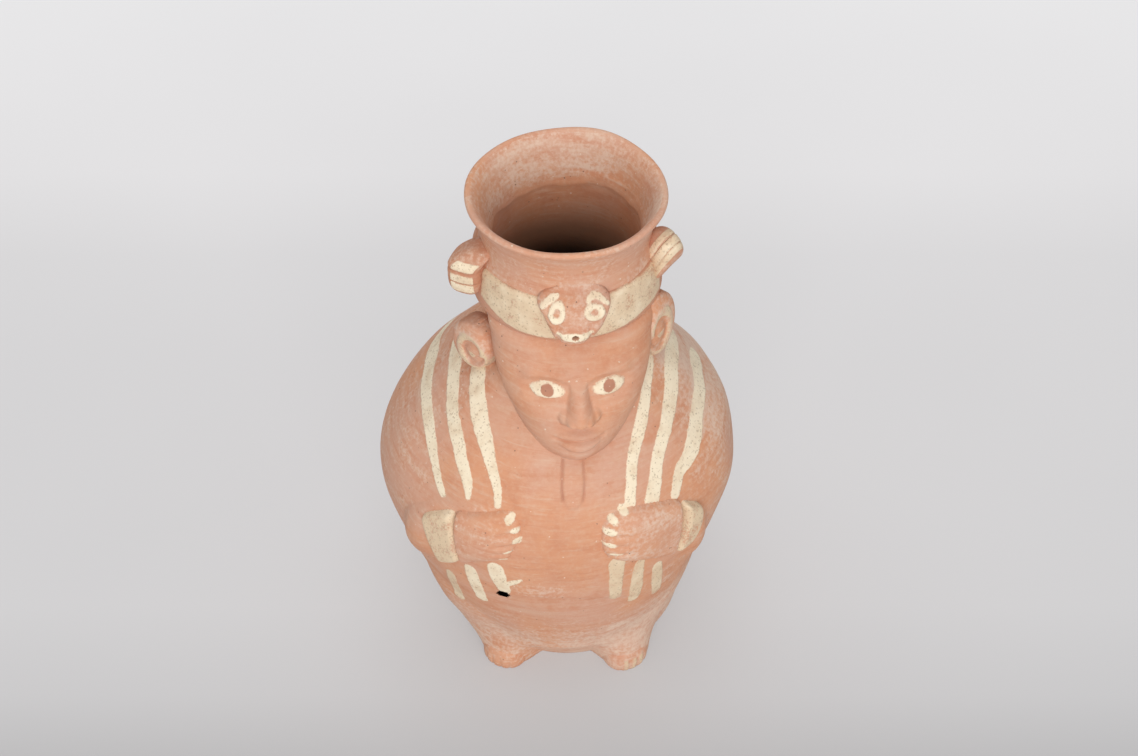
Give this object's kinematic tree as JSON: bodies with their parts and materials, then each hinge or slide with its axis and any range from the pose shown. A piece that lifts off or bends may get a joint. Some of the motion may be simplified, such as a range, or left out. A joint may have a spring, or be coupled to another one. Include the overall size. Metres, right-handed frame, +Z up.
{
  "type": "moche portrait vessel",
  "caption": "Hollow fired-clay jar shaped as a seated figure with folded arms, a flared open neck on the head, an animal headband and cream slip stripes.",
  "frame": {"origin": "centre of the flat underside of the base", "axes": "+Z up along the vessel's axis, -Y towards the side the figure looks to, +X to the viewer's right"},
  "size_m": [0.1419, 0.137, 0.22],
  "materials": {
    "terracotta": "matte burnished earthenware",
    "cream_slip": "matte slip with dark specks"
  },
  "bodies": {
    "root": {"beast_brow_left": "cream_slip", "beast_brow_right": "cream_slip", "beast_eye_left": "cream_slip", "beast_eye_right": "cream_slip", "beast_head": "terracotta", "beast_muzzle": "cream_slip", "body_back": "terracotta", "body_front": "terracotta", "chin_tie": "terracotta", "collar_coil": "terracotta", "cuff_left": "cream_slip", "cuff_right": "cream_slip", "ear_boss_left": "terracotta", "ear_boss_right": "terracotta", "ear_left": "terracotta", "ear_right": "terracotta", "ear_spool_left": "terracotta", "ear_spool_right": "terracotta", "floor_disc": "terracotta", "foot_left": "terracotta", "foot_right": "terracotta", "forearm_left": "terracotta", "forearm_right": "terracotta", "hand_left": "terracotta", "hand_right": "terracotta", "head_back": "terracotta", "head_front": "terracotta", "headband": "terracotta", "hem_stripe_left_1": "cream_slip", "hem_stripe_left_2": "cream_slip", "hem_stripe_left_3": "cream_slip", "hem_stripe_right_1": "cream_slip", "hem_stripe_right_2": "cream_slip", "hem_stripe_right_3": "cream_slip", "mantle_stripe_left_1": "cream_slip", "mantle_stripe_left_2": "cream_slip", "mantle_stripe_left_3": "cream_slip", "mantle_stripe_right_1": "cream_slip", "mantle_stripe_right_2": "cream_slip", "mantle_stripe_right_3": "cream_slip", "neck": "terracotta", "neck_coil": "terracotta", "paw_left": "cream_slip", "paw_right": "cream_slip", "seam_coil_left": "terracotta", "seam_coil_right": "terracotta", "upper_arm_left": "terracotta", "upper_arm_right": "terracotta"}
  },
  "joints": []
}
